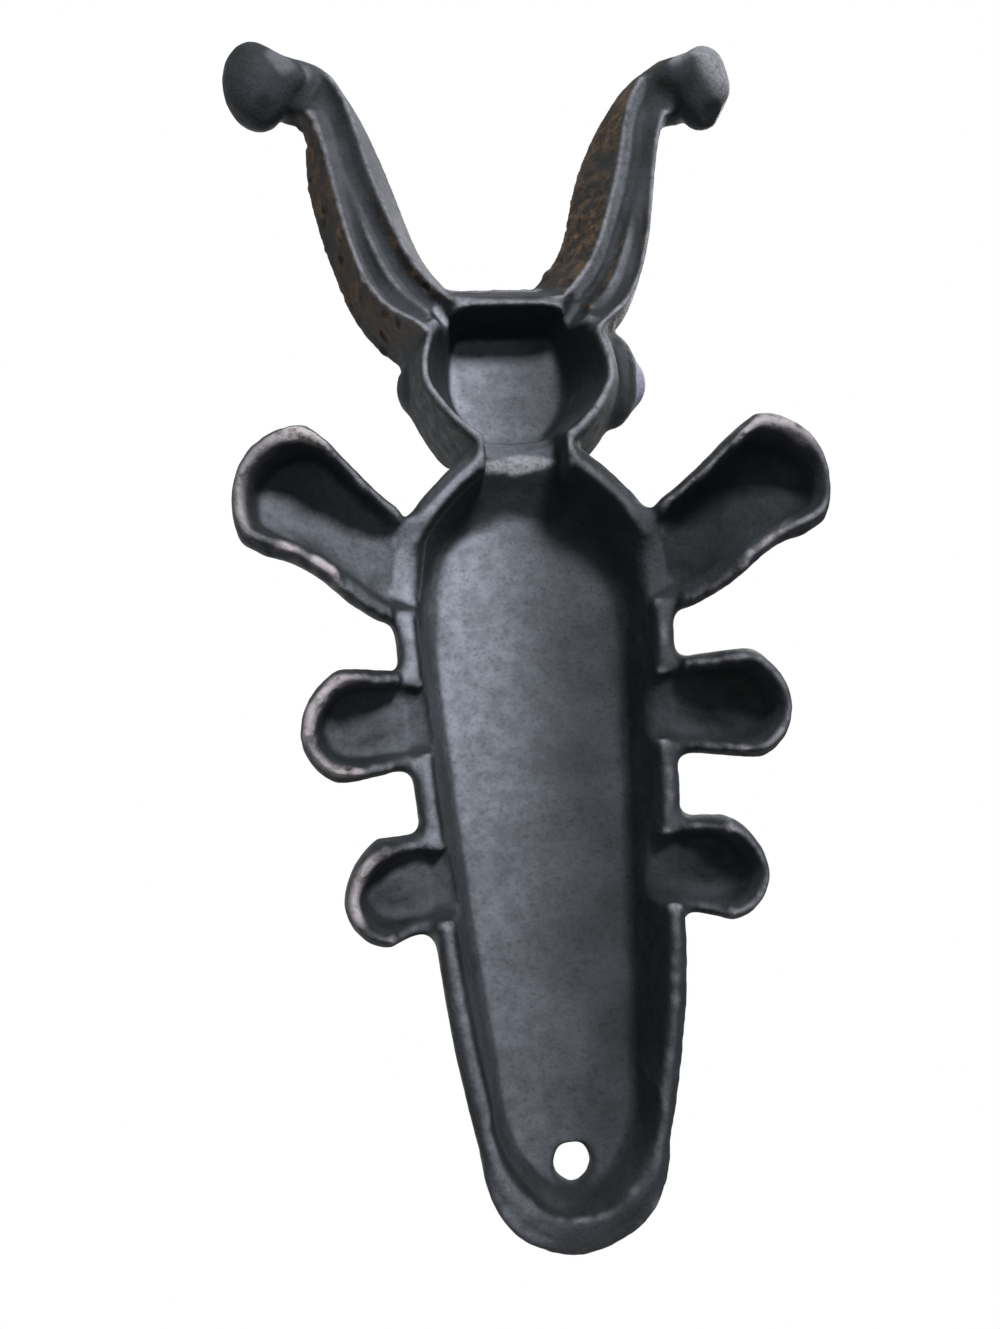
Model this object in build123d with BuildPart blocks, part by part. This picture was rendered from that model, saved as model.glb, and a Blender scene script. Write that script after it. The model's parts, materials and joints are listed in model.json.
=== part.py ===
from build123d import *
import os

os.makedirs("parts", exist_ok=True)

# ---------------------------------------------------------------- lengths along Y, tail at +Y
body_length = 162.0          # tail end to neck
head_length = 44.5           # neck to the front edge of the fork base
horn_reach = 59.5            # fork base to the front of the knobs
overall_length = body_length + head_length + horn_reach
tail_y = overall_length / 2
neck_y = tail_y - body_length
fork_y = neck_y - head_length
form_height = 56.0           # height at which the flared outlines are drawn
form_base = -2.0             # the outlines start below the ground and are trimmed at the rim
side_reach = 60.0            # side profiles are extruded this far from the middle plane

# ---------------------------------------------------------------- body trough
body_half_width = 29.5
body_wall = 3.9
body_roof = 4.6              # metal above the trough
body_top = 42.0              # height of the back just behind the neck
shoulder_low = -1.0          # change of the front outline at the ground
shoulder_high = 2.5          # change of the front outline at form_height
pan_draft = 13.0             # narrowing of the trough from the ground to form_height
pan_front_gap = 14.0         # the trough starts this much further back at form_height
pan_front_spread = 4.6       # the front of the trough is drawn wider, as its rim is higher
pan_front_start = 0.8        # neck to the foot of the sloping wall behind it
pan_front_slope = 7.0        # length of that wall
pan_tail_slope = 11.6        # extra gap at the tail from the ground to form_height
pan_crown = 0.8              # the trough's vault passes its ceiling by this much
tail_top = 8.5               # height of the tail end
tail_roof = 3.5              # metal above the trough at the tail
tail_rim = 9.3               # tail end to the trough at the ground
tail_lip = 14.0              # length of the rim that curves up to the tail end
tail_lip_rise = 6.0
flat_run = 40.0              # length of tail rim that lies on the ground
hole_radius = 3.7
hole_from_tail = 16.3
thorax_length = 50.0         # neck to the seam of the wing covers
tail_piece_length = 31.0     # tail end to the seam of the wing covers
wing_line_width = 2.4        # line between the wing covers
wing_line_depth = 1.3

# ---------------------------------------------------------------- neck
neck_half_width = 10.6       # at the rim
neck_base_half_width = 6.6   # at form_base
neck_top_half_width = 17.6
neck_rim = 17.0              # height of the rim at the neck
neck_top = 43.5
saddle_half_width = 8.6
saddle_height = 30.0         # height of the crest between pocket and trough
saddle_crown = 3.0           # rounding of the saddle's ceiling
saddle_crest = 3.0           # length of the crest along Y, from the neck towards the tail
saddle_head_run = 10.0       # length of the slope from the crest into the pocket
saddle_head_rise = 15.0
saddle_pan_run = 7.5         # length of the slope from the crest into the trough
saddle_pan_rise = 5.0

# ---------------------------------------------------------------- head
head_base = 10.0             # height at which the lower outline is drawn
head_half_width = 21.5       # at the rim
head_flare = 6.0             # extra half width at form_height
head_shift = 1.8             # the top is cast this far to the right of the rim
head_top = 53.5
head_wall = 1.7
pocket_base = 12.0           # height at which the pocket's lower outline is drawn
pocket_floor = 46.5
pocket_narrowing = 6.2       # rim to floor, each side
pocket_neck_half_width = 6.9 # at the pocket's floor
pocket_neck_gap = 1.2        # neck to the pocket at pocket_base
pocket_neck_slope = 4.6      # extra gap at the pocket's floor
fork_rim_run = 5.6           # the pocket's lower outline leans this far towards the fork
pocket_fork_gap = 13.1       # fork edge to the pocket's floor
head_neck_inset = 1.3        # the head's rim is this much narrower than the body's at the neck
fork_half_width = 14.6
fork_bevel = 5.0             # the outlines pass the fork edge by this much
fork_rim = 34.5              # height of the rim under the fork base
fork_overhang = 7.5          # how far the fork edge leans out over its rim
fork_lip = 4.0               # height of the fork edge below the top
fork_wall = 2.6

# ---------------------------------------------------------------- horns, knobs and eyes
right_flare_in = 8.4         # widening on the fork side, ridge to widest line
right_flare_out = 1.4        # widening on the outer side
left_flare_in = 4.8
left_flare_out = 5.4
horn_groove = 4.6            # depth of the long groove
leaf_groove = 3.4            # depth of the short outer groove
horn_root_top = 53.0
horn_tip_top = 61.0
horn_crown = 5.0             # widest line to the top
horn_tip_rim = 49.5
right_tip_x = 53.4           # middle line to the end of the horn
left_tip_x = 53.4
right_knob_x = 53.0
left_knob_x = 55.0
right_knob_radius = 7.0
left_knob_radius = 7.8
left_knob_back = 0.8         # the left knob sits this much further from the front
knob_half_length = 9.9
knob_z = 49.5
eye_radius = 7.4
eye_z = 44.0
eye_out_right = 26.0
eye_out_left = 18.6
eye_from_neck = 19.0

# ---------------------------------------------------------------- legs
leg_root_x = 9.0
leg_wall = 3.6
leg_roof = 4.2
leg_half_width = 10.6
front_leg_reach = 58.8
middle_leg_reach = 48.2
rear_leg_reach = 41.6
front_leg_y = neck_y + 25.8
middle_leg_y = neck_y + 56.8
rear_leg_y = neck_y + 88.8
front_leg_top = 29.0
middle_leg_top = 27.0
rear_leg_top = 21.5
front_foot_top = 12.0
middle_foot_top = 11.0
rear_foot_top = 10.0
front_foot_flat = 18.0       # length of foot rim that lies on the ground
middle_foot_flat = 11.0
rear_foot_flat = 8.5
front_lean = -13.0           # how far the foot is turned from the root along Y
middle_lean = 1.0
rear_lean = 0.5
front_leg_rim = 16.0         # height of the leg rim where it meets the body
middle_leg_rim = 12.0
rear_leg_rim = 6.5

# ---------------------------------------------------------------- shares
# Share of the body length from the neck, and share of the largest half width.
body_stations = [(0.045, 0.65), (0.096, 0.895), (0.157, 0.975), (0.222, 1.0), (0.413, 0.93),
                 (0.585, 0.845), (0.76, 0.735), (0.865, 0.62), (0.94, 0.50), (0.98, 0.28)]
# The same for the trough, at the end where it is blunter than the body.
pan_tail_stations = [(0.85, 0.665), (0.93, 0.585), (0.98, 0.38)]
# Share of the body length, then shares of the largest half width and of the height of the back.
vault_stations = [(-0.04, 0.88, 0.72, 1.07), (0.25, 1.12, 0.62, 0.95), (0.60, 0.98, 0.47, 0.72),
                  (0.85, 0.85, 0.26, 0.395), (1.04, 0.71, 0.10, 0.23)]
pan_vault_stations = [(-0.04, 0.81, 0.72, 0.99), (0.25, 1.02, 0.66, 0.91), (0.60, 0.88, 0.43, 0.66),
                      (0.85, 0.75, 0.19, 0.38), (1.04, 0.61, 0.06, 0.23)]
# Height of the back along the body.
back_stations = [(0.28, 0.91), (0.55, 0.70), (0.78, 0.45), (0.93, 0.26)]
ceiling_roofs = [body_roof, body_roof, body_roof, tail_roof]
# Share of the head length from the neck, and share of the half width.
head_rim_stations = [(0.18, 0.75), (0.315, 0.89), (0.45, 0.87), (0.596, 0.68)]
head_top_stations = [(0.18, 0.84), (0.315, 0.96), (0.45, 1.02), (0.596, 1.06)]
pocket_rim_stations = [(0.193, 0.886), (0.337, 1.088), (0.438, 1.121), (0.607, 1.049)]
pocket_floor_stations = [(0.258, 0.888), (0.371, 1.0), (0.449, 1.014), (0.596, 0.986)]
head_vault_stations = [(-0.135, 1.21, 0.486, 0.84), (0.382, 1.44, 0.748, 1.01),
                       (0.742, 1.535, 0.822, 1.028), (1.169, 1.535, 0.86, 1.037)]
# Fork-side ridge and outer ridge of a horn as shares (across, along, height), then the share
# of the rise of the top, of the leaf-shaped second groove and of the flare.
horn_stations = [
    ((-0.051, 0.034, -0.067), (0.092, 0.193, -0.533), 0.00, 1.0, 1.0),
    ((0.031, -0.059, 0.113), (0.275, 0.067, -0.200), 0.06, 1.0, 1.0),
    ((0.137, -0.151, 0.220), (0.407, -0.050, 0.153), 0.20, 1.0, 1.0),
    ((0.254, -0.314, 0.380), (0.529, -0.269, 0.367), 0.40, 0.8, 1.0),
    ((0.356, -0.511, 0.593), (0.600, -0.487, 0.593), 0.65, 0.2, 1.1),
    ((0.455, -0.765, 0.820), (0.677, -0.723, 0.800), 0.88, 0.0, 0.8),
    ((0.580, -0.985, 0.953), (0.763, -0.854, 0.953), 1.00, 0.0, 0.35),
    ((0.880, -1.072, 1.000), (0.925, -0.870, 1.000), 1.00, 0.0, 0.10),
]
# Where the long groove of a horn runs into the pocket of the head.
gutter_stations = [
    ((-0.150, 0.160, -0.160), (-0.010, 0.310, -0.600)),
    ((-0.051, 0.034, -0.067), (0.092, 0.193, -0.533)),
    ((0.031, -0.059, 0.113), (0.275, 0.067, -0.200)),
]
# Corners of a leg's plan: shares of its reach, of its lean and of its half width.
front_corners = [(0, 0, -0.95), (0.35, 0, -1.38), (0.596, 0.75, -1.48), (0.81, 1, -1.24),
                 (0.985, 1, -0.38), (1.0, 1, 0.23), (0.97, 1, 0.78), (0.744, 0.93, 1.34),
                 (0.48, 0.32, 1.36), (0.30, 0, 1.16), (0, 0, 0.87)]
middle_corners = [(0, 0, -0.90), (0.54, 0, -0.98), (0.80, 0, -1.05), (0.955, 0, -0.50),
                  (1.0, 0, 0.10), (0.97, 0, 0.55), (0.82, 0, 1.02), (0.54, 0, 0.93), (0, 0, 0.92)]
rear_corners = [(0, 0, -0.83), (0.52, 0, -0.90), (0.79, 0, -0.92), (0.93, 0, -0.50),
                (1.0, 0, 0.05), (0.95, 0, 0.62), (0.76, 0, 0.98), (0.50, 0, 0.90), (0, 0, 0.82)]
# Share of the reach, of the lean, of the half width and of the height.
leg_arch_stations = [(0.0, 0.1, 1.42, 0.55), (0.42, 0.0, 1.36, 0.52), (0.72, 1.0, 1.34, 0.45),
                     (1.06, 1.1, 1.30, 0.35)]

legs = [
    ("front_leg", front_leg_reach, front_leg_y, front_lean, front_leg_top, front_foot_top,
     front_foot_flat, front_leg_rim, front_corners),
    ("middle_leg", middle_leg_reach, middle_leg_y, middle_lean, middle_leg_top, middle_foot_top,
     middle_foot_flat, middle_leg_rim, middle_corners),
    ("rear_leg", rear_leg_reach, rear_leg_y, rear_lean, rear_leg_top, rear_foot_top,
     rear_foot_flat, rear_leg_rim, rear_corners),
]
horns = [
    ("right_", 1, right_flare_in, right_flare_out, right_tip_x, right_knob_x, 0, right_knob_radius),
    ("left_", -1, left_flare_in, left_flare_out, left_tip_x, left_knob_x, left_knob_back,
     left_knob_radius),
]
eyes = [("right_", eye_out_right), ("left_", -eye_out_left)]


def arcs_through(pts):
    """Chain of arcs, each through three of an odd number of points."""
    for i in range(0, len(pts) - 2, 2):
        ThreePointArc(pts[i], pts[i + 1], pts[i + 2])


def across(y):
    """Upright plane across the object, seen from the tail."""
    return Plane(origin=(0, y, 0), x_dir=(1, 0, 0), z_dir=(0, -1, 0))


def arch(half, spring, top):
    """Closed arch: flat base, upright sides and a rounded top."""
    Polyline((-half, spring), (-half, 3 * form_base), (half, 3 * form_base), (half, spring))
    ThreePointArc((half, spring), (0, top), (-half, spring))


def body_outline(neck_half, shoulder):
    """Closed outline of the body, with a straight edge across the neck."""
    right = [(neck_half, neck_y)]
    for along, share in body_stations:
        x = share * body_half_width + shoulder * (1 - along) ** 6
        right.append((x, neck_y + along * body_length))
    arcs_through(right)
    mirror(about=Plane.YZ)
    ThreePointArc(right[-1], (0, tail_y), (-right[-1][0], right[-1][1]))
    Line(right[0], (-neck_half, neck_y))


def pan_outline(front_half, draft, front_gap, end_gap):
    """Closed outline of the trough at one height, inset from the body outline."""
    right = [(front_half, neck_y + front_gap)]
    length = body_length - front_gap - end_gap
    for along, share in body_stations[:-3] + pan_tail_stations:
        inset = body_wall - pan_front_spread * (1 - along) + draft * share
        right.append((share * body_half_width - inset, neck_y + front_gap + along * length))
    arcs_through(right)
    mirror(about=Plane.YZ)
    ThreePointArc(right[-1], (0, tail_y - end_gap), (-right[-1][0], right[-1][1]))
    Line(right[0], (-front_half, neck_y + front_gap))


def back_line(start, start_height, end_height, below):
    """Side view of the back from a share of its length to the tail, lowered by an amount."""
    heights = [(neck_y + a * body_length, h * body_top - below) for a, h in back_stations]
    Spline((neck_y + start * body_length, start_height), *heights, (tail_y, end_height))


def head_outline(neck_half, stations, flare, shift):
    """Closed outline of the head, pointed at the neck and square at the fork."""
    right = [(neck_half, neck_y)]
    left = [(-neck_half, neck_y)]
    for along, share in stations:
        half = share * head_half_width + flare
        right.append((half + shift, neck_y - along * head_length))
        left.append((-half + shift, neck_y - along * head_length))
    arcs_through(right)
    arcs_through(left)
    Polyline(
        right[-1],
        (fork_half_width, fork_y + fork_bevel),
        (fork_half_width, fork_y - fork_bevel),
        (-fork_half_width, fork_y - fork_bevel),
        (-fork_half_width, fork_y + fork_bevel),
        left[-1],
    )
    Line(left[0], right[0])


def pocket_outline(neck_half, neck_gap, stations, inset, fork_half, fork_gap):
    """Closed outline of the head pocket at one height."""
    right = [(neck_half, neck_y - neck_gap)]
    for along, share in stations:
        right.append((share * head_half_width - inset, neck_y - along * head_length))
    arcs_through(right)
    Polyline(right[-1], (fork_half, fork_y + fork_gap), (0, fork_y + fork_gap))
    mirror(about=Plane.YZ)
    Line(right[0], (-neck_half, neck_y - neck_gap))


def horn_point(side, tip_x, share):
    """Real position of a ridge point given by its shares."""
    x = side * (fork_half_width + share[0] * (tip_x - fork_half_width))
    y = fork_y + fork_overhang + share[1] * horn_reach
    z = fork_rim + share[2] * (horn_tip_rim - fork_rim)
    return Vector(x, y, z)


def leg_outline(reach, leg_y, lean, corners, inset):
    """Closed plan of one right leg."""
    root = leg_root_x + inset
    half = leg_half_width - inset
    pts = []
    for along, turned, side in corners:
        x = root + along * (reach - inset - root)
        pts.append((x, leg_y + lean * turned + side * half))
    arcs_through(pts)
    Line(pts[-1], pts[0])


def leg_plane(reach, leg_y, lean, along, shift):
    """Upright plane across a right leg."""
    x = leg_root_x + along * (reach - leg_root_x)
    return Plane(origin=(x, leg_y + lean * shift, 0), x_dir=(0, 1, 0), z_dir=(1, 0, 0))


def leg_height(root_top, foot_top, along):
    """Height of a leg's back, which falls faster towards the foot."""
    return root_top + (foot_top - root_top) * along ** 1.5


# ================================================================ body
with BuildPart() as body_block:
    with BuildSketch(Plane.XY.offset(form_base)) as body_low:
        with BuildLine():
            body_outline(neck_base_half_width, shoulder_low)
        make_face()
    with BuildSketch(Plane.XY.offset(form_height)) as body_high:
        with BuildLine():
            body_outline(neck_top_half_width, shoulder_high)
        make_face()
    loft(ruled=True)
    with BuildSketch(Plane.YZ.offset(-side_reach)) as back_profile:
        with BuildLine():
            back_line(0, neck_top, tail_top, 0)
            Polyline(
                (tail_y, tail_top),
                (tail_y, form_base),
                (neck_y, form_base),
                (neck_y, neck_top),
            )
        make_face()
    extrude(amount=2 * side_reach, mode=Mode.INTERSECT)

with BuildPart() as body_vault:
    for along, half, spring, top in vault_stations:
        with BuildSketch(across(neck_y + along * body_length)) as body_arch:
            with BuildLine():
                arch(half * body_half_width, spring * body_top, top * body_top)
            make_face()
    loft()

with BuildPart() as body_solid:
    add(body_block.part)
    add(body_vault.part, mode=Mode.INTERSECT)

with BuildPart() as body_underside:
    with BuildSketch(Plane.YZ.offset(-side_reach)) as rim_profile:
        with BuildLine():
            Line((tail_y - flat_run, 0), (tail_y - tail_lip, 0))
            TangentArc((tail_y - tail_lip, 0), (tail_y, tail_lip_rise), tangent=(1, 0))
            Polyline(
                (tail_y, tail_lip_rise),
                (tail_y + 1, tail_lip_rise),
                (tail_y + 1, 2 * form_base),
                (neck_y - 1, 2 * form_base),
                (neck_y - 1, neck_rim),
                (neck_y, neck_rim),
            )
            Spline(
                (neck_y, neck_rim),
                (neck_y + 0.10 * body_length, neck_rim),
                (neck_y + 0.28 * body_length, 0.83 * neck_rim),
                (neck_y + 0.50 * body_length, 0.45 * neck_rim),
                (tail_y - flat_run, 0),
                tangents=[(1, 0), (1, 0)],
            )
        make_face()
    extrude(amount=2 * side_reach)

with BuildPart() as pan_hollow:
    with BuildSketch(Plane.XY.offset(form_base)) as pan_low:
        with BuildLine():
            pan_outline(neck_half_width, 0, 1.0, tail_rim)
        make_face()
    with BuildSketch(Plane.XY.offset(form_height)) as pan_high:
        with BuildLine():
            pan_outline(
                neck_base_half_width, pan_draft, pan_front_gap, tail_rim + pan_tail_slope
            )
        make_face()
    loft(ruled=True)
    with BuildSketch(Plane.YZ.offset(-side_reach)) as ceiling_profile:
        with BuildLine():
            front = (neck_y + 0.11 * body_length, 0.98 * body_top - body_roof)
            tail = (tail_y, tail_top - tail_roof)
            ceiling = [
                (neck_y + along * body_length, height * body_top - roof)
                for (along, height), roof in zip(back_stations, ceiling_roofs)
            ]
            Spline(front, *ceiling, tail)
            Polyline(
                tail,
                (tail_y, 2 * form_base),
                (neck_y + pan_front_start, 2 * form_base),
                (neck_y + pan_front_start, saddle_height - saddle_crown / 2),
                (
                    neck_y + pan_front_start + pan_front_slope,
                    saddle_height + 1.5 * saddle_crown,
                ),
                front,
            )
        make_face()
    extrude(amount=2 * side_reach, mode=Mode.INTERSECT)

with BuildPart() as pan_vault:
    for along, half, spring, top in pan_vault_stations:
        with BuildSketch(across(neck_y + along * body_length)) as pan_arch:
            with BuildLine():
                arch(half * body_half_width, spring * body_top, top * body_top - body_roof + pan_crown)
            make_face()
    loft()

with BuildPart() as saddle_slot:
    with BuildSketch(Plane.YZ.offset(-saddle_half_width)) as saddle_profile:
        with BuildLine():
            Polyline(
                (neck_y - saddle_head_run, form_base),
                (neck_y - saddle_head_run, saddle_height + saddle_head_rise),
                (neck_y, saddle_height),
                (neck_y + saddle_crest, saddle_height),
                (neck_y + saddle_crest + saddle_pan_run, saddle_height + saddle_pan_rise),
                (neck_y + saddle_crest + saddle_pan_run, form_base),
                close=True,
            )
        make_face()
    extrude(amount=2 * saddle_half_width)

# ================================================================ head
with BuildPart() as head_block:
    with BuildSketch(Plane.XY.offset(head_base)) as head_low:
        with BuildLine():
            head_outline(neck_half_width - head_neck_inset, head_rim_stations, 0, 0)
        make_face()
    with BuildSketch(Plane.XY.offset(form_height)) as head_high:
        with BuildLine():
            head_outline(neck_top_half_width, head_top_stations, head_flare, head_shift)
        make_face()
    loft(ruled=True)
    with BuildSketch(Plane.YZ.offset(-side_reach)) as head_profile:
        with BuildLine():
            rim_rise = fork_rim - neck_rim
            Spline(
                (neck_y, neck_rim),
                (neck_y - 0.18 * head_length, neck_rim + 0.14 * rim_rise),
                (neck_y - 0.40 * head_length, neck_rim + 0.355 * rim_rise),
                (neck_y - 0.596 * head_length, neck_rim + 0.583 * rim_rise),
                (fork_y + fork_overhang, fork_rim),
            )
            Polyline(
                (fork_y + fork_overhang, fork_rim),
                (fork_y, head_top - fork_lip),
                (fork_y + 0.25 * fork_lip, head_top - 0.2 * fork_lip),
            )
            Spline(
                (fork_y + 0.25 * fork_lip, head_top - 0.2 * fork_lip),
                (fork_y + 0.29 * head_length, head_top),
                (neck_y - 0.38 * head_length, head_top - 2.5),
                (neck_y, neck_top),
            )
            Line((neck_y, neck_top), (neck_y, neck_rim))
        make_face()
    extrude(amount=2 * side_reach, mode=Mode.INTERSECT)

with BuildPart() as head_vault:
    for along, half, spring, top in head_vault_stations:
        with BuildSketch(across(neck_y - along * head_length)) as head_arch:
            with BuildLine():
                arch(half * head_half_width, spring * head_top, top * head_top)
            make_face()
    loft()

with BuildPart() as head_solid:
    add(head_block.part)
    add(head_vault.part, mode=Mode.INTERSECT)

with BuildPart() as pocket:
    with BuildSketch(Plane.XY.offset(pocket_base)) as pocket_low:
        with BuildLine():
            pocket_outline(
                neck_half_width - head_wall, pocket_neck_gap, pocket_rim_stations, head_wall,
                fork_half_width, fork_overhang + fork_wall - fork_rim_run,
            )
        make_face()
    with BuildSketch(Plane.XY.offset(pocket_floor)) as pocket_high:
        with BuildLine():
            pocket_outline(
                pocket_neck_half_width, pocket_neck_gap + pocket_neck_slope,
                pocket_floor_stations, head_wall + pocket_narrowing,
                fork_half_width - fork_wall, pocket_fork_gap,
            )
        make_face()
    loft(ruled=True)

# ================================================================ horns and knobs
gutters = []
for prefix, side, flare_in, flare_out, tip_x, knob_x, knob_back, knob_radius in horns:
    with BuildPart() as knob:
        with BuildSketch(Plane.XY.offset(knob_z)) as knob_section:
            with Locations((side * knob_x, knob_back + knob_half_length - overall_length / 2)):
                Ellipse(knob_radius, knob_half_length)
                Rectangle(
                    2 * knob_radius, 3 * knob_half_length, align=(Align.MAX, Align.CENTER),
                    mode=Mode.SUBTRACT,
                )
        revolve(axis=Axis((side * knob_x, 0, knob_z), (0, 1, 0)), revolution_arc=360)

    with BuildPart() as horn:
        for inner_share, outer_share, rise, leaf, flare in horn_stations:
            ridge = horn_point(side, tip_x, inner_share)
            edge = horn_point(side, tip_x, outer_share)
            over = Vector(edge.X - ridge.X, edge.Y - ridge.Y, 0)
            width = over.length
            top = horn_root_top + rise * (horn_tip_top - horn_root_top)
            widest = top - horn_crown
            fade = 1 - leaf
            groove_z = horn_groove * (0.7 + 0.3 * leaf)
            station_plane = Plane(
                origin=(ridge.X, ridge.Y, 0), x_dir=over, z_dir=(over.Y, -over.X, 0)
            )
            with BuildSketch(station_plane) as horn_section:
                with BuildLine():
                    Polyline(
                        (0, ridge.Z),
                        ((0.30 + 0.12 * fade) * width, ridge.Z + groove_z),
                        (
                            (0.55 + 0.08 * fade) * width,
                            (ridge.Z + edge.Z) / 2 + 1.0 * leaf + 0.66 * groove_z * fade,
                        ),
                        (
                            (0.78 + 0.03 * fade) * width,
                            edge.Z + leaf_groove * leaf + 0.33 * groove_z * fade,
                        ),
                        (width, edge.Z),
                        (width + flare_out * flare, widest),
                        (0.80 * width, top - 0.8),
                        (0.25 * width, top),
                        (-flare_in * flare, widest),
                        close=True,
                    )
                make_face()
        loft()
        add(head_solid.part, mode=Mode.SUBTRACT)
        add(knob.part, mode=Mode.SUBTRACT)

    with BuildPart() as gutter:
        for inner_share, outer_share in gutter_stations:
            ridge = horn_point(side, tip_x, inner_share)
            edge = horn_point(side, tip_x, outer_share)
            over = Vector(edge.X - ridge.X, edge.Y - ridge.Y, 0)
            width = over.length
            station_plane = Plane(
                origin=(ridge.X, ridge.Y, 0), x_dir=over, z_dir=(over.Y, -over.X, 0)
            )
            with BuildSketch(station_plane) as gutter_section:
                with BuildLine():
                    Polyline(
                        (0, head_base),
                        (0, ridge.Z),
                        (0.30 * width, ridge.Z + horn_groove),
                        (0.55 * width, (ridge.Z + edge.Z) / 2 + 1.0),
                        (0.55 * width, head_base),
                        close=True,
                    )
                make_face()
        loft(ruled=True)
    gutters.append(gutter.part)

    horn.part.label = prefix + "horn"
    export_step(horn.part, "parts/" + prefix + "horn.step")
    knob.part.label = prefix + "knob"
    export_step(knob.part, "parts/" + prefix + "knob.step")

# ================================================================ eyes
for prefix, eye_x in eyes:
    with BuildPart() as eye:
        with Locations((eye_x, neck_y - eye_from_neck, eye_z)):
            Sphere(eye_radius)
        add(head_solid.part, mode=Mode.SUBTRACT)
    eye.part.label = prefix + "eye"
    export_step(eye.part, "parts/" + prefix + "eye.step")

# ================================================================ legs
channels = []
for name, reach, leg_y, lean, root_top, foot_top, foot_flat, root_rim, corners in legs:
    with BuildPart() as channel:
        for along, shift, half, spring in leg_arch_stations:
            with BuildSketch(leg_plane(reach, leg_y, lean, along, shift)):
                with BuildLine():
                    inner_top = leg_height(root_top, foot_top, along) - leg_roof
                    arch(half * leg_half_width - leg_wall, spring * inner_top, inner_top)
                make_face()
        loft()
        with BuildSketch(Plane.XY.offset(form_base)) as channel_plan:
            with BuildLine():
                leg_outline(reach, leg_y, lean, corners, leg_wall)
            make_face()
        extrude(amount=body_top, mode=Mode.INTERSECT)
    channels.append(channel.part)

    with BuildPart() as leg:
        for along, shift, half, spring in leg_arch_stations:
            with BuildSketch(leg_plane(reach, leg_y, lean, along, shift)):
                with BuildLine():
                    outer_top = leg_height(root_top, foot_top, along)
                    arch(half * leg_half_width, spring * outer_top, outer_top)
                make_face()
        loft()
        with BuildSketch(Plane.XY) as leg_plan:
            with BuildLine():
                leg_outline(reach, leg_y, lean, corners, 0)
            make_face()
        extrude(amount=body_top, mode=Mode.INTERSECT)
        with BuildSketch(Plane.XZ.offset(-leg_y - 4 * leg_half_width)) as foot_slope:
            with BuildLine():
                Polyline(
                    (0, form_base - 1),
                    (0, root_rim),
                    (body_half_width - 5, root_rim),
                    (body_half_width + 1, 0.7 * root_rim),
                    (reach - foot_flat, 0),
                    (reach - foot_flat, form_base - 1),
                    close=True,
                )
            make_face()
        extrude(amount=8 * leg_half_width, mode=Mode.SUBTRACT)
        add(channel.part, mode=Mode.SUBTRACT)
        add(body_solid.part, mode=Mode.SUBTRACT)

    with BuildPart() as other_leg:
        add(mirror(leg.part, about=Plane.YZ, mode=Mode.PRIVATE))

    leg.part.label = "right_" + name
    export_step(leg.part, "parts/right_" + name + ".step")
    other_leg.part.label = "left_" + name
    export_step(other_leg.part, "parts/left_" + name + ".step")

# ================================================================ body shell and its pieces
with BuildPart() as shell:
    add(body_solid.part)
    add(body_underside.part, mode=Mode.SUBTRACT)
    add(pan_hollow.part.intersect(pan_vault.part), mode=Mode.SUBTRACT)
    add(saddle_slot.part, mode=Mode.SUBTRACT)
    for channel_part in channels:
        add(channel_part, mode=Mode.SUBTRACT)
        add(mirror(channel_part, about=Plane.YZ, mode=Mode.PRIVATE), mode=Mode.SUBTRACT)
    with Locations((0, tail_y - hole_from_tail, body_top / 2)):
        Cylinder(hole_radius, body_top, mode=Mode.SUBTRACT)
    with BuildSketch(Plane.YZ.offset(-wing_line_width / 2)) as wing_line:
        with BuildLine():
            low = [(neck_y + a * body_length, h * body_top) for a, h in back_stations[:3]]
            Spline(*[(y, z - wing_line_depth) for y, z in low])
            Polyline(
                (low[2][0], low[2][1] - wing_line_depth),
                (low[2][0], body_top + 3),
                (low[0][0], body_top + 3),
                (low[0][0], low[0][1] - wing_line_depth),
            )
        make_face()
    extrude(amount=wing_line_width, mode=Mode.SUBTRACT)

wing_seam = Plane.XZ.offset(-neck_y - thorax_length)
tail_seam = Plane.XZ.offset(-tail_y + tail_piece_length)

with BuildPart() as thorax:
    add(shell.part)
    split(bisect_by=wing_seam, keep=Keep.TOP)

with BuildPart() as right_wing_cover:
    add(shell.part)
    split(bisect_by=wing_seam, keep=Keep.BOTTOM)
    split(bisect_by=tail_seam, keep=Keep.TOP)
    split(bisect_by=Plane.YZ, keep=Keep.TOP)

with BuildPart() as left_wing_cover:
    add(mirror(right_wing_cover.part, about=Plane.YZ, mode=Mode.PRIVATE))

with BuildPart() as tail_end:
    add(shell.part)
    split(bisect_by=tail_seam, keep=Keep.BOTTOM)

with BuildPart() as head:
    add(head_solid.part)
    add(pocket.part, mode=Mode.SUBTRACT)
    add(saddle_slot.part, mode=Mode.SUBTRACT)
    for gutter_part in gutters:
        add(gutter_part, mode=Mode.SUBTRACT)

# ================================================================ output
thorax.part.label = "thorax"
export_step(thorax.part, "parts/thorax.step")
right_wing_cover.part.label = "right_wing_cover"
export_step(right_wing_cover.part, "parts/right_wing_cover.step")
left_wing_cover.part.label = "left_wing_cover"
export_step(left_wing_cover.part, "parts/left_wing_cover.step")
tail_end.part.label = "tail_end"
export_step(tail_end.part, "parts/tail_end.step")
head.part.label = "head"
export_step(head.part, "parts/head.step")
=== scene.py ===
import json
import math

import bmesh
import bpy
import numpy as np
from mathutils import Matrix, Vector
from mathutils.bvhtree import BVHTree
from mathutils.kdtree import KDTree

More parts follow.
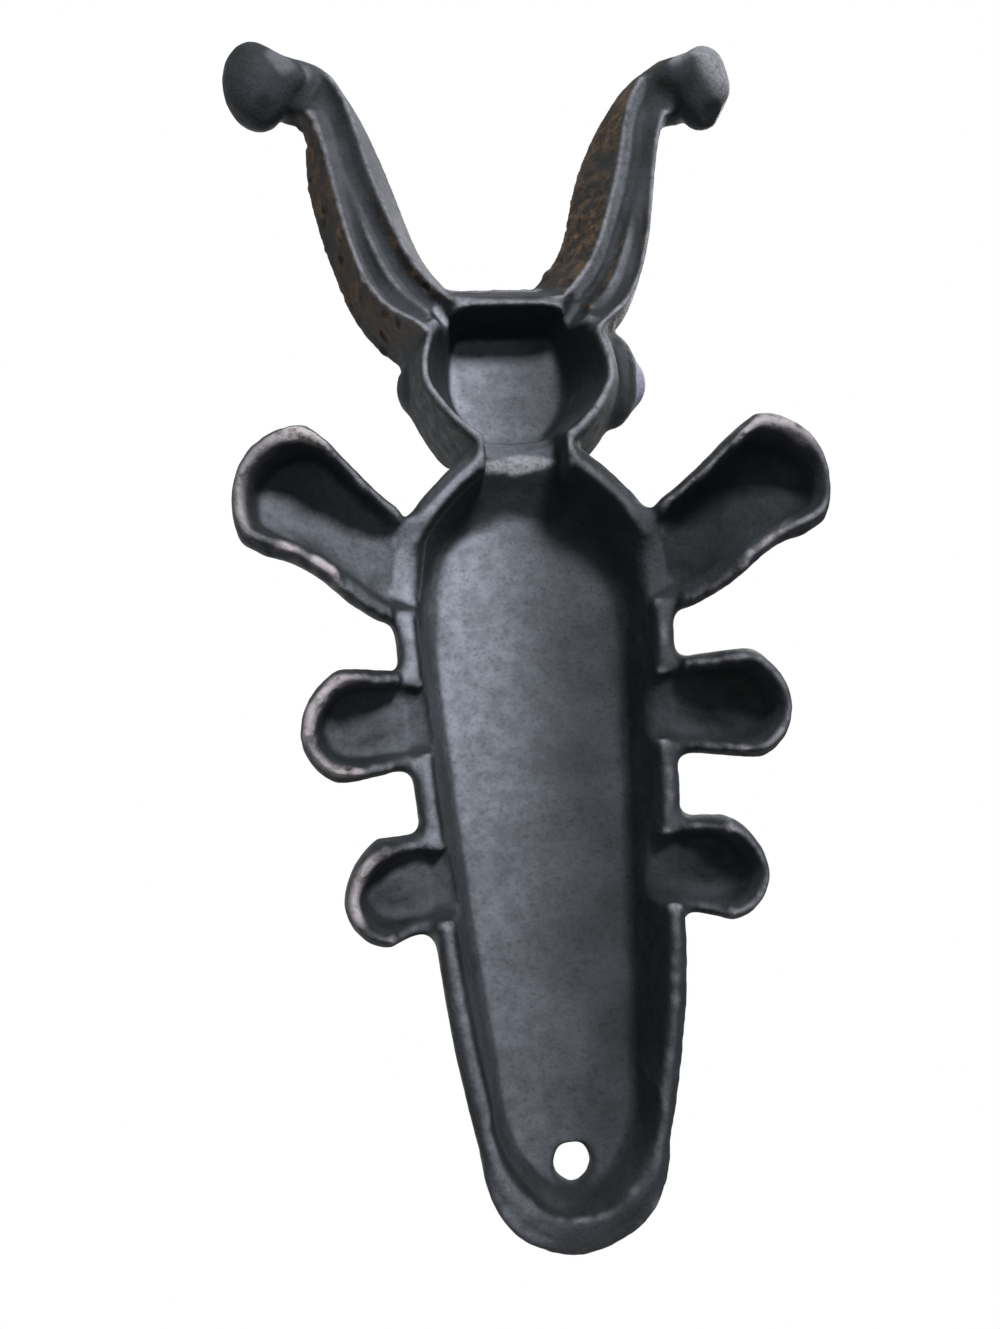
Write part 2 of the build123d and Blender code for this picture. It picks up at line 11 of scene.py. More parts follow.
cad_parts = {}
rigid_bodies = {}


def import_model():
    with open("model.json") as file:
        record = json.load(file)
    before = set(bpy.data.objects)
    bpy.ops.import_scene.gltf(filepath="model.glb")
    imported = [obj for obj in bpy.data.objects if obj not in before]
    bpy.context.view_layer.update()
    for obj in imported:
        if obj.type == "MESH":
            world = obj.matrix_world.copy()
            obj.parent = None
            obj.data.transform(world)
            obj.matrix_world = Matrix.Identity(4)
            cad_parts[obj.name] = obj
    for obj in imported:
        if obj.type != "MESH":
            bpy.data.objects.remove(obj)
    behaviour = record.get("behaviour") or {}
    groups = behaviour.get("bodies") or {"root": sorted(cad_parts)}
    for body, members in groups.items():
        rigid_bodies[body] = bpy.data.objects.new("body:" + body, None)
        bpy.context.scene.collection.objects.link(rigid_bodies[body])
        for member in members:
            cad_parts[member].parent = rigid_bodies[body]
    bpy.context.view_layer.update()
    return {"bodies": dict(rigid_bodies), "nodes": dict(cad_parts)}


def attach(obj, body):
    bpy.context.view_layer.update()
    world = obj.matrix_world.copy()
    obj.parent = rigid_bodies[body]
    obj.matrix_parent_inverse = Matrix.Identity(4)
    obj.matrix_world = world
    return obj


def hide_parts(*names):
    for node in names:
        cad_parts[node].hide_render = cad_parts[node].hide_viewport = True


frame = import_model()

MM = 0.001
SEED = 20417

# ---------------------------------------------------------------- regions of the casting

NODES = sorted(frame["nodes"])
LEGS = [name for name in NODES if name.endswith("_leg")]
HORNS = [name for name in NODES if name.endswith("_horn")]
KNOBS = [name for name in NODES if name.endswith("_knob")]
BODY = ["thorax", "right_wing_cover", "left_wing_cover", "tail_end"]

# ---------------------------------------------------------------- places and sizes, in millimetres

FORK_BASE_Y = -69.0
NECK_Y = -29.0
FRONT_RIM_Y = 0.0
RIGHT_EYE = np.array([26.0, -48.0, 44.0])
EYE_RADIUS = 7.9
RIGHT_KNOB = np.array([53.0, -123.1, 49.5])
LEFT_KNOB = np.array([-55.0, -122.3, 49.5])
LIT_PATCH = np.array([-48.5, -127.0, 44.5])

# The shadow in the front of the trough ends in an arch.
ARCH_X, ARCH_Y, ARCH_RADIUS = -2.0, 6.0, 21.0

# A leg's spine ends at this share of its reach. Its side walls and the passage to the trough.
LEG_MIDDLE = 0.80
LEG_WALL = 3.0
PASSAGE_WIDTH = 8.5

# Widest flat rim, and how high its walls are drawn up with it.
RIM_WIDTH = 5.2
WALL_HEIGHT = 8.0

# How far a rim's edges are drawn up: on legs, head and front of the body, and elsewhere.
RISE_OUTSIDE = ([3.4, 2.4, 3.0], 2.0)
RISE_INSIDE = ([3.0, 1.6, 1.2], 0.9)

# Round fillings between neighbouring forms: middle and half sizes.
FILLINGS = [
    ((-50.5, -126.0, 50.0), (5.5, 4.6, 5.0)),
    ((-46.0, -124.5, 50.5), (5.5, 4.4, 5.0)),
    ((46.5, -127.0, 51.0), (5.5, 4.6, 5.0)),
    ((24.4, -48.5, 42.5), (6.2, 11.5, 9.5)),
]
FILLING_MARGIN = 3.5

# Flats dressed on the knobs: knob, direction of the flat and its distance from the knob's middle.
FLATS = [
    (RIGHT_KNOB, (0.20, 0.76, -0.62), 8.1),
    (RIGHT_KNOB, (0.76, -0.20, -0.62), 6.4),
    (RIGHT_KNOB, (-0.20, -0.61, -0.77), 7.6),
    (RIGHT_KNOB, (0.86, 0.50, -0.10), 7.0),
    (LEFT_KNOB, (-0.50, -0.30, -0.81), 7.4),
    (LEFT_KNOB, (0.30, 0.70, -0.65), 8.3),
]

# ---------------------------------------------------------------- smoothing

VOXEL = 0.45 * MM
EVENING_PASSES = 4
LEG_JOINT_SPREAD, LEG_JOINT_PASSES = 60, 140
KNOB_JOINT_SPREAD, KNOB_JOINT_PASSES = 40, 60
FILLING_PASSES = 70
TROUGH_PASSES = 260
HOLLOW_SPREAD, FILLET_PASSES = 40, 60

# ---------------------------------------------------------------- meshes


def joined_mesh():
    """Every CAD solid and filling in one mesh, a search tree of the solids, and each face's node."""
    joined = bmesh.new()
    owner = []
    for number, name in enumerate(NODES):
        joined.from_mesh(frame["nodes"][name].data)
        owner += [number] * (len(joined.faces) - len(owner))
    tree = BVHTree.FromBMesh(joined)
    for middle, half in FILLINGS:
        spot = Matrix.Translation(Vector(middle) * MM) @ Matrix.Diagonal((*[v * MM for v in half], 1))
        bmesh.ops.create_icosphere(joined, subdivisions=4, radius=1, matrix=spot)
    mesh = bpy.data.meshes.new("joined")
    joined.to_mesh(mesh)
    joined.free()
    return mesh, tree, np.array(owner)


def remeshed(mesh):
    """One closed skin round all that a mesh holds."""
    source = bpy.data.objects.new("source", mesh)
    bpy.context.scene.collection.objects.link(source)
    modifier = source.modifiers.new("skin", "REMESH")
    modifier.mode = "VOXEL"
    modifier.voxel_size = VOXEL
    graph = bpy.context.evaluated_depsgraph_get()
    skin = bpy.data.meshes.new_from_object(source.evaluated_get(graph))
    bpy.data.objects.remove(source)
    return skin


def keep_largest_island(mesh):
    """Takes away each small closed shell that the remesh left inside the skin."""
    work = bmesh.new()
    work.from_mesh(mesh)
    work.verts.ensure_lookup_table()
    label = np.full(len(work.verts), -1)
    counts = []
    for start in work.verts:
        if label[start.index] >= 0:
            continue
        number = len(counts)
        label[start.index] = number
        stack, count = [start], 0
        while stack:
            vertex = stack.pop()
            count += 1
            for edge in vertex.link_edges:
                other = edge.other_vert(vertex)
                if label[other.index] < 0:
                    label[other.index] = number
                    stack.append(other)
        counts.append(count)
    keep = int(np.argmax(counts))
    away = [vertex for vertex in work.verts if label[vertex.index] != keep]
    bmesh.ops.delete(work, geom=away, context="VERTS")
    work.to_mesh(mesh)
    work.free()


def coordinates(mesh):
    flat = np.empty(len(mesh.vertices) * 3, np.float32)
    mesh.vertices.foreach_get("co", flat)
    return flat.reshape(-1, 3).astype(float)


def normals(mesh):
    flat = np.empty(len(mesh.vertices) * 3, np.float32)
    mesh.vertex_normals.foreach_get("vector", flat)
    return flat.reshape(-1, 3).astype(float)


def write(mesh, points):
    mesh.vertices.foreach_set("co", points.astype(np.float32).ravel())
    mesh.update()


def neighbour_table(mesh):
    """For each vertex its neighbours, with itself in the spare places, and how many it has."""
    flat = np.empty(len(mesh.edges) * 2, np.int32)
    mesh.edges.foreach_get("vertices", flat)
    pairs = flat.reshape(-1, 2)
    start = np.concatenate([pairs[:, 0], pairs[:, 1]])
    other = np.concatenate([pairs[:, 1], pairs[:, 0]])
    order = np.argsort(start, kind="stable")
    start, other = start[order], other[order]
    count = np.bincount(start, minlength=len(mesh.vertices))
    first = np.concatenate([[0], np.cumsum(count)[:-1]])
    table = np.repeat(np.arange(len(mesh.vertices))[:, None], count.max(), axis=1)
    table[start, np.arange(len(start)) - first[start]] = other
    return table, count


def averaged(values, times=1):
    """Each vertex's value replaced by the mean of its neighbours', some times over."""
    spare = around.shape[1] - around_count
    for step in range(times):
        if values.ndim == 1:
            values = (values[around].sum(1) - spare * values) / around_count
        else:
            values = (values[around].sum(1) - spare[:, None] * values) / around_count[:, None]
    return values


def relaxed(points, weight, passes):
    """Points drawn towards the mean of their neighbours, as far as the weight says."""
    active = np.flatnonzero(weight > 0.01)
    near, share = around[active], 0.5 * weight[active][:, None]
    count = around_count[active][:, None]
    points = points.copy()
    for step in range(passes):
        here = points[active]
        mean = (points[near].sum(1) - (around.shape[1] - count) * here) / count
        points[active] = here + share * (mean - here)
    return points


def kd_tree(targets):
    tree = KDTree(len(targets))
    for index, target in enumerate(targets):
        tree.insert(Vector(target), index)
    tree.balance()
    return tree


# ---------------------------------------------------------------- seeded noise

LATTICE = 64
LATTICE_VALUES = np.random.default_rng(SEED).random((LATTICE, LATTICE, LATTICE))


def noise(points, wave, offset=0):
    """Smooth value noise from -1 to 1 whose lattice cell is one wave."""
    place = points / wave + 17.3 * offset + 1000.0
    cell = np.floor(place).astype(int)
    part = place - cell
    part = part * part * (3 - 2 * part)
    total = np.zeros(len(points))
    for dx in (0, 1):
        for dy in (0, 1):
            for dz in (0, 1):
                weight = (
                    np.abs(1 - dx - part[:, 0])
                    * np.abs(1 - dy - part[:, 1])
                    * np.abs(1 - dz - part[:, 2])
                )
                total += weight * LATTICE_VALUES[
                    (cell[:, 0] + dx) % LATTICE,
                    (cell[:, 1] + dy) % LATTICE,
                    (cell[:, 2] + dz) % LATTICE,
                ]
    return 2 * total - 1


def ramp(value, low, high):
    """Rises smoothly from 0 at the low value to 1 at the high one."""
    share = np.clip((value - low) / (high - low), 0, 1)
    return share * share * (3 - 2 * share)


# ---------------------------------------------------------------- where the skin's points lie


def owners(points):
    """For each point the number of the CAD node that it belongs to."""
    found = np.empty(len(points), int)
    for index, point in enumerate(points):
        found[index] = face_owner[solid_tree.find_nearest(Vector(point))[2]]
    return found


def among(names):
    return np.isin(owner, [NODES.index(name) for name in names])


def bulge_at(points, normal):
    """How far each point stands out from its surroundings, in millimetres."""
    return averaged(np.einsum("ij,ij->i", points - averaged(points, 4), normal), 2) / MM


def facing_out(points, normal):
    """Up to 1 where a wall faces away from the middle of its leg or of the body, down to -1 inside."""
    away = normal[:, 0] * np.sign(points[:, 0])
    for name in LEGS:
        solid = coordinates(frame["nodes"][name].data)
        slope, start = np.polyfit(solid[:, 0], solid[:, 1], 1)
        reach = np.abs(solid[:, 0]).max()
        mine = among([name])
        x, y = points[mine, 0], points[mine, 1]
        middle_x = np.sign(x) * np.minimum(np.abs(x), LEG_MIDDLE * reach)
        out = np.stack([x - middle_x, y - (start + slope * middle_x)], 1)
        out /= np.maximum(np.linalg.norm(out, axis=1), 1e-6)[:, None]
        away[mine] = (out * normal[mine, :2]).sum(1)
    return away


def nearest(points, targets):
    """Distance from each point to the nearest target, and that target's height."""
    tree = kd_tree(targets)
    found = [tree.find(Vector(point)) for point in points]
    return np.array([hit[2] for hit in found]), np.array([hit[0][2] for hit in found])


def facing_tail(points, normal, outer, close):
    """How far the outer wall nearest to each of the close points faces the tail."""
    tree = kd_tree(points[outer])
    facing = normal[outer, 1]
    return np.array([facing[tree.find(Vector(point))[1]] for point in points[close]])


def slice_numbers(points):
    """For each point the number of its slice, one millimetre thick, along Y."""
    place = np.floor(points[:, 1] / MM).astype(int)
    return place - place.min()


def half_width_at(points):
    """Half width of the body at each point's place along Y."""
    place = slice_numbers(points)
    widest = np.zeros(place.max() + 1)
    np.maximum.at(widest, place[is_body], np.abs(points[is_body, 0]))
    return widest[place] / MM


def height_above_rim(points):
    """Height of each point above the lowest point of the body or head at the same place along Y."""
    place = slice_numbers(points)
    lowest = np.full(place.max() + 1, 1.0)
    trunk = is_body | is_head
    np.minimum.at(lowest, place[trunk], points[trunk, 2])
    return (points[:, 2] - lowest[place]) / MM


def beside_leg(points):
    """Where the body's wall is open towards a leg."""
    found = np.zeros(len(points), bool)
    for name in LEGS:
        solid = coordinates(frame["nodes"][name].data)
        root = solid[np.abs(solid[:, 0]) < np.abs(solid[:, 0]).min() + 3 * MM]
        low, high = root[:, 1].min() + LEG_WALL * MM, root[:, 1].max() - LEG_WALL * MM
        level = (points[:, 1] > low) & (points[:, 1] < high)
        found |= level & (points[:, 0] * root[0, 0] > 0)
    return found


# ---------------------------------------------------------------- shaping steps


def start_skin(mesh):
    """A new even skin round a mesh, and its points. Sets its neighbours, owners and regions too."""
    global around, around_count, owner, is_leg, is_head, is_horn, is_knob, is_body
    skin = remeshed(mesh)
    keep_largest_island(skin)
    around, around_count = neighbour_table(skin)
    points = coordinates(skin)
    for step in range(EVENING_PASSES):
        points += 0.5 * (averaged(points) - points)
    write(skin, points)
    owner = owners(points)
    is_leg, is_head, is_horn = among(LEGS), among(["head"]), among(HORNS)
    is_knob, is_body = among(KNOBS), among(BODY)
    return skin, points


def thinned_rims(points, normal):
    """Flat rims become narrow crests: their outer and inner edges are drawn up the walls."""
    bulge = bulge_at(points, normal)
    down = -normal[:, 2]
    away = facing_out(points, normal)
    rimmed = is_leg | is_body | (is_head & (points[:, 1] > FORK_BASE_Y * MM))
    convex = rimmed & (bulge > 0.07) & (down > 0.25) & (down < 0.95)
    outer, inner = convex & (away > 0.25), convex & (away < -0.25)
    close = np.flatnonzero(rimmed & (down > -0.5))
    to_outer, outer_z = nearest(points[close], points[outer])
    to_inner, inner_z = nearest(points[close], points[inner])
    to_outer, to_inner = to_outer / MM, to_inner / MM
    z = points[close, 2] / MM
    outer_z, inner_z = outer_z / MM, inner_z / MM
    level = np.minimum(np.abs(z - outer_z), np.abs(z - inner_z))
    land = (down[close] > 0.75) & (to_outer < RIM_WIDTH) & (to_inner < RIM_WIDTH) & (level < 1.2)
    share = to_outer / (to_outer + to_inner + 1e-6)
    front = is_body[close] & (points[close, 1] < FRONT_RIM_Y * MM)
    places = [is_leg[close], is_head[close], front]
    rise_out = np.select(places, *RISE_OUTSIDE)
    rise_in = np.select(places, *RISE_INSIDE)
    tailward = ramp(facing_tail(points, normal, outer, close), -0.2, 0.8)
    slope_out = np.select(places, [0.26 + 0.36 * tailward, 0.60, 0.66], 0.55)
    slope_in = np.select(places, [0.38, 0.25, 0.20], 0.20)
    up = np.where(
        land,
        rise_out * np.clip(1 - share / slope_out, 0, 1)
        + rise_in * np.clip(1 - (1 - share) / slope_in, 0, 1),
        0,
    )
    wall_out = ~land & (away[close] > 0.2) & (to_outer < WALL_HEIGHT) & (z > outer_z - 0.3)
    wall_in = ~land & (away[close] < -0.2) & (to_inner < WALL_HEIGHT) & (z > inner_z - 0.3)
    up = np.where(wall_out, rise_out * np.clip(1 - (z - outer_z) / WALL_HEIGHT, 0, 1), up)
    up = np.where(wall_in, rise_in * np.clip(1 - (z - inner_z) / WALL_HEIGHT, 0, 1), up)
    lift = np.zeros(len(points))
    lift[close] = up
    lift = averaged(lift, 3)
    points = points.copy()
    points[:, 2] += lift * MM
    return points


def rounded_joint(points, region, spread, passes):
    """Points relaxed along the seam between a region and the rest."""
    joint = averaged(region.astype(float), spread)
    return relaxed(points, 4 * joint * (1 - joint), passes)


def with_flats(points):
    """The knobs with their flats: what stands past a flat is pushed back onto it."""
    for middle, direction, reach in FLATS:
        mine = is_knob & (points[:, 0] * middle[0] > 0)
        outward = np.array(direction) / np.linalg.norm(direction)
        past = np.maximum((points / MM - middle) @ outward - reach, 0) * mine
        points = points - averaged(past, 2)[:, None] * outward * MM
    return points


# ---------------------------------------------------------------- build the skin

solid_mesh, solid_tree, face_owner = joined_mesh()
skin, points = start_skin(solid_mesh)
points = thinned_rims(points, normals(skin))
points = rounded_joint(points, is_leg, LEG_JOINT_SPREAD, LEG_JOINT_PASSES)
points = rounded_joint(points, is_knob, KNOB_JOINT_SPREAD, KNOB_JOINT_PASSES)
write(skin, points)
for middle, half in FILLINGS:
    gap = np.linalg.norm(points / MM - np.array(middle), axis=1)
    points = relaxed(points, ramp(max(half) + FILLING_MARGIN - gap, 0, 3), FILLING_PASSES)

# The saddle between pocket and trough, and the front of the trough's floor, are softened.
x, y, z = (points / MM).T
under = averaged(ramp(-normals(skin)[:, 2], -0.3, 0.2), 4)
above_rim = height_above_rim(points)
saddle = ramp(8.0 - np.abs(x), 0, 2) * ramp(y - NECK_Y + 16, 0, 4) * ramp(NECK_Y + 12 - y, 0, 4)
points = relaxed(points, saddle * under * (is_head | is_body), TROUGH_PASSES)
pan_front = ramp(y - NECK_Y - 6, 0, 4) * ramp(NECK_Y + 44 - y, 0, 8) * ramp(above_rim, 3, 6)
points = relaxed(points, pan_front * under * is_body, TROUGH_PASSES)
write(skin, points)

skin, points = start_skin(skin)

# Inner corners of the casting are filled: there the wide mean lies outside the surface.
hollow = np.einsum("ij,ij->i", averaged(points, HOLLOW_SPREAD) - points, normals(skin))
fillet = averaged(ramp(hollow / MM, 0.10, 0.50), 6)
points = relaxed(points, fillet, FILLET_PASSES)
points = with_flats(points)
write(skin, points)

# ---------------------------------------------------------------- where paint, painted light, wear and rust lie

normal = normals(skin)
bulge = bulge_at(points, normal)
hollow = averaged(hollow, 4) / MM
x, y, z = (points / MM).T
down = -normal[:, 2]
above_rim = height_above_rim(points)

# Worn rims, partly painted glints along them, and the feet's ends.
edge = ramp(bulge, 0.05, 0.16) * ramp(down, 0.0, 0.5)
foot = is_leg * (1 - ramp(z + 1.2 * noise(points, 3.5 * MM, 4), 0.8, 2.2)) * ramp(down, 0.2, 0.6)
spotted = 0.75 * ramp(0.6 * noise(points, 6 * MM, 11) - 0.02 * y, 0.15, 0.6)
foot = foot * np.where(x < 0, ramp(noise(points, 6 * MM, 16), -0.75, 0.1), spotted)

# Painted light on the hollow floors: the lamps' sheen painted as a pale colour, weaker towards the
# right and the tail where shade falls, and none in the painted shadow at the front.
inside = is_body & (above_rim > 4)
passage = is_body & (np.abs(x) > half_width_at(points) - PASSAGE_WIDTH) & beside_leg(points)
arch = np.hypot(x - ARCH_X, np.minimum(y - ARCH_Y, 0)) + 1.5 * noise(points, 5 * MM, 12)
front_shadow = np.where(inside, 1 - ramp(arch, ARCH_RADIUS - 1.5, ARCH_RADIUS + 2), 1)
painted_light = (is_body | is_head) * ramp(down, 0.66, 0.95) * (1 - edge) * front_shadow
# Painted shade where the trough opens towards the legs.
painted_light = painted_light * (1 - 0.75 * averaged(passage.astype(float), 6))
# Painted light on the head side of the saddle's riser.
riser = is_head * ramp(8.5 - np.abs(x), 0, 2) * ramp(y - NECK_Y + 14, 0, 3) * ramp(down, 0.15, 0.45)
painted_light = np.maximum(painted_light, 0.75 * riser * (1 - edge))
# Painted light on the trough's left wall, which faces the key lamp.
left_wall = is_body * (x < 0) * (above_rim > 3) * ramp(normal[:, 0], 0.3, 0.7) * front_shadow
painted_light = np.maximum(painted_light, 0.22 * left_wall)
# Painted light in the hollows of the left legs.
painted_light = np.maximum(painted_light, 0.32 * (is_leg & (x < 0) & (z > 3)) * ramp(down, 0.3, 0.8))
# Painted shade: the painted light fades towards the right and towards the tail.
across = 1 - 0.88 * ramp(x, -20, 12)
along = 1 - 0.60 * ramp(y, -30, 90)
pan_floor_light = painted_light * across * along

# Rust on the horns' left flanks. Painted highlights on the ridges of horns and head that face the key
# lamp, on the horns' lit sides and a lit patch by the left knob, and on the top's edges, which are
# partly worn.
west = ramp(-normal[:, 0], 0.25, 0.70) * is_horn * ramp(0.80 - down, 0, 0.2)
west = west * (1 - ramp(hollow, 0.0, 0.2))
rust = west * ramp(0.5 + 0.6 * noise(points, 9 * MM, 5), 0.10, 0.35)
# Painted highlights: ridges are lighter only where they face the key lamp.
ridge_highlight_and_wear = (is_horn | is_head) * ramp(-hollow, 0.10, 0.60) * ramp(down, 0.2, 0.7)
ridge_highlight_and_wear = ridge_highlight_and_wear * ramp(normal[:, 0] + 0.25 * noise(points, 5 * MM, 14), -0.3, 0.3) * (1 - west)
lit_side = is_horn * ramp(normal[:, 0], 0.10, 0.55) * ramp(down, 0.10, 0.45)
lit_side = lit_side * np.where(x > 0, 0.85, 0.40) * (1 - ramp(hollow, 0.1, 0.4))
patch = np.linalg.norm(np.stack([x, y, z], 1) - LIT_PATCH, axis=1) + noise(points, 2.5 * MM, 17)
patch = 0.7 * (1 - ramp(patch, 2.5, 4.5)) * (is_knob | is_horn)
# Upward faces: painted lighter than the underside as a painted sheen, and smoother.
top = ramp(-down, 0.0, 0.5)
top_edge = ramp(bulge, 0.04, 0.14) * top
ridge_highlight_and_wear = np.maximum(np.maximum(np.maximum(ridge_highlight_and_wear, lit_side), patch), 0.5 * top_edge)

# Painted highlights on the saddle's crest and the right knob's lit side, bare metal on the fork's base,
# and a painted highlight on the right eye.
crest = np.hypot(x / 7.5, (y - NECK_Y - 2.2) / 2.2) + 0.35 * noise(points, 2.2 * MM, 15)
crest = (1 - ramp(crest, 0.7, 1.1)) * ramp(down, 0.3, 0.7)
# Painted highlight on the side of the right knob that faces the key lamp.
lit_knob = among(["right_knob"]) * ramp(normal @ np.array([0.55, -0.60, -0.58]), 0.25, 0.75)
crest = np.maximum(crest, 0.75 * lit_knob)
fork_front = y[is_head].min()
fork_band = is_head * ramp(fork_front + 3.4 + 0.8 * noise(points, 2.5 * MM, 13) - y, 0, 0.6)
fork_band = fork_band * ramp(down, 0.1, 0.5)
from_eye = np.linalg.norm(np.stack([x, y, z], 1) - RIGHT_EYE, axis=1)
# Painted highlight: the right eye is paler only on its side that faces the key lamp.
eye = among(["right_eye"]) * ramp(normal[:, 0], -0.1, 0.5) * (from_eye < EYE_RADIUS)

for name, values in {
    "edge": edge,
    "foot": foot,
    "pan_floor_light": pan_floor_light,
    "rust": rust,
    "fork_band": fork_band,
    "ridge_highlight_and_wear": ridge_highlight_and_wear,
    "top": top,
    "crest": crest,
    "eye": eye,
}.items():
    attribute = skin.attributes.new(name, "FLOAT", "POINT")
    attribute.data.foreach_set("value", averaged(values).astype(np.float32))

# ---------------------------------------------------------------- sand-cast surface

grain = (
    0.035 * noise(points, 0.9 * MM, 1)
    + 0.055 * noise(points, 1.9 * MM, 2)
    + 0.07 * noise(points, 6.0 * MM, 3)
)
pits = -0.55 * rust * ramp(noise(points, 3.2 * MM, 6), 0.45, 0.75)
lumps = 0.50 * west * ramp(noise(points, 4.0 * MM, 7), 0.45, 0.8)
rim_waves = 0.55 * (foot + 0.4 * edge * is_leg) * noise(points, 5.0 * MM, 8)
fork_chips = 0.30 * fork_band * noise(points, 1.8 * MM, 9)
points += normal * ((grain + pits + lumps + rim_waves + fork_chips) * MM)[:, None]
write(skin, points)

casting = bpy.data.objects.new("casting", skin)
bpy.context.scene.collection.objects.link(casting)
skin.shade_smooth()

# ---------------------------------------------------------------- material

BLACK_PAINT = (0.010, 0.012, 0.013, 1)
WORN_PAINT = (0.022, 0.025, 0.029, 1)
# Painted light: pale colours for the hollow floors, standing in for the lamps' sheen.
HOLLOW_LIGHT = (0.255, 0.272, 0.320, 1)
HOLLOW_LIGHT_DIM = (0.165, 0.180, 0.212, 1)
# Bare metal, also used for painted glints and highlights.
BARE_METAL_AND_GLINT = (0.190, 0.190, 0.215, 1)
FOOT_METAL = (0.290, 0.268, 0.285, 1)
FOOT_BROWN = (0.060, 0.046, 0.042, 1)
RUST = (0.062, 0.041, 0.026, 1)
RUST_DARK = (0.012, 0.010, 0.009, 1)
# A lighter copy of the black paint for the top: painted sheen.
TOP_SHEEN = (0.046, 0.049, 0.055, 1)
TOP_SHEEN_DIM = (0.022, 0.024, 0.027, 1)
EYE_HIGHLIGHT = (0.230, 0.235, 0.310, 1)
# Painted highlight colour for ridges, lit sides and the lit patch, also for the top's worn edges.
RIDGE_HIGHLIGHT_AND_WEAR = (0.100, 0.104, 0.120, 1)
ROUGH_LOW, ROUGH_HIGH = 0.62, 0.80
TOP_SMOOTHER = 0.20
SPECULAR = 0.10


class Tree:
    """Short calls for one material's nodes."""

    def __init__(self, name):
        self.material = bpy.data.materials.new(name)
        self.material.use_nodes = True
        self.nodes = self.material.node_tree.nodes
        self.links = self.material.node_tree.links
        self.shader = self.nodes["Principled BSDF"]
        self.place = self.nodes.new("ShaderNodeTexCoord").outputs["Object"]

    def put(self, socket, value):
        if isinstance(value, bpy.types.NodeSocket):
            self.links.new(value, socket)
        elif value is not None:
            socket.default_value = value

    def attribute(self, name):
        made = self.nodes.new("ShaderNodeAttribute")
        made.attribute_name = name
        return made.outputs["Fac"]

    def noise(self, wave, detail=3.0, rough=0.55):
        made = self.nodes.new("ShaderNodeTexNoise")
        self.put(made.inputs["Vector"], self.place)
        self.put(made.inputs["Scale"], 1 / (wave * MM))
        self.put(made.inputs["Detail"], detail)
        self.put(made.inputs["Roughness"], rough)
        return made.outputs["Fac"]

    def math(self, kind, one, two):
        made = self.nodes.new("ShaderNodeMath")
        made.operation = kind
        made.use_clamp = True
        self.put(made.inputs[0], one)
        self.put(made.inputs[1], two)
        return made.outputs[0]

    def times(self, name, value):
        """One of the skin's masks times a value."""
        return self.math("MULTIPLY", self.attribute(name), value)

    def between(self, value, low, high, start=0.0, end=1.0):
        made = self.nodes.new("ShaderNodeMapRange")
        made.interpolation_type = "SMOOTHSTEP"
        self.put(made.inputs["Value"], value)
        self.put(made.inputs["From Min"], low)
        self.put(made.inputs["From Max"], high)
        self.put(made.inputs["To Min"], start)
        self.put(made.inputs["To Max"], end)
        return made.outputs["Result"]

    def mix(self, factor, one, two):
        made = self.nodes.new("ShaderNodeMix")
        made.data_type = "RGBA"
        self.put(made.inputs["Factor"], factor)
        self.put(made.inputs["A"], one)
        self.put(made.inputs["B"], two)
        return made.outputs["Result"]

    def bump(self, height, distance, strength=1.0, normal=None):
        made = self.nodes.new("ShaderNodeBump")
        self.put(made.inputs["Height"], height)
        self.put(made.inputs["Distance"], distance * MM)
        self.put(made.inputs["Strength"], strength)
        self.put(made.inputs["Normal"], normal)
        return made.outputs["Normal"]


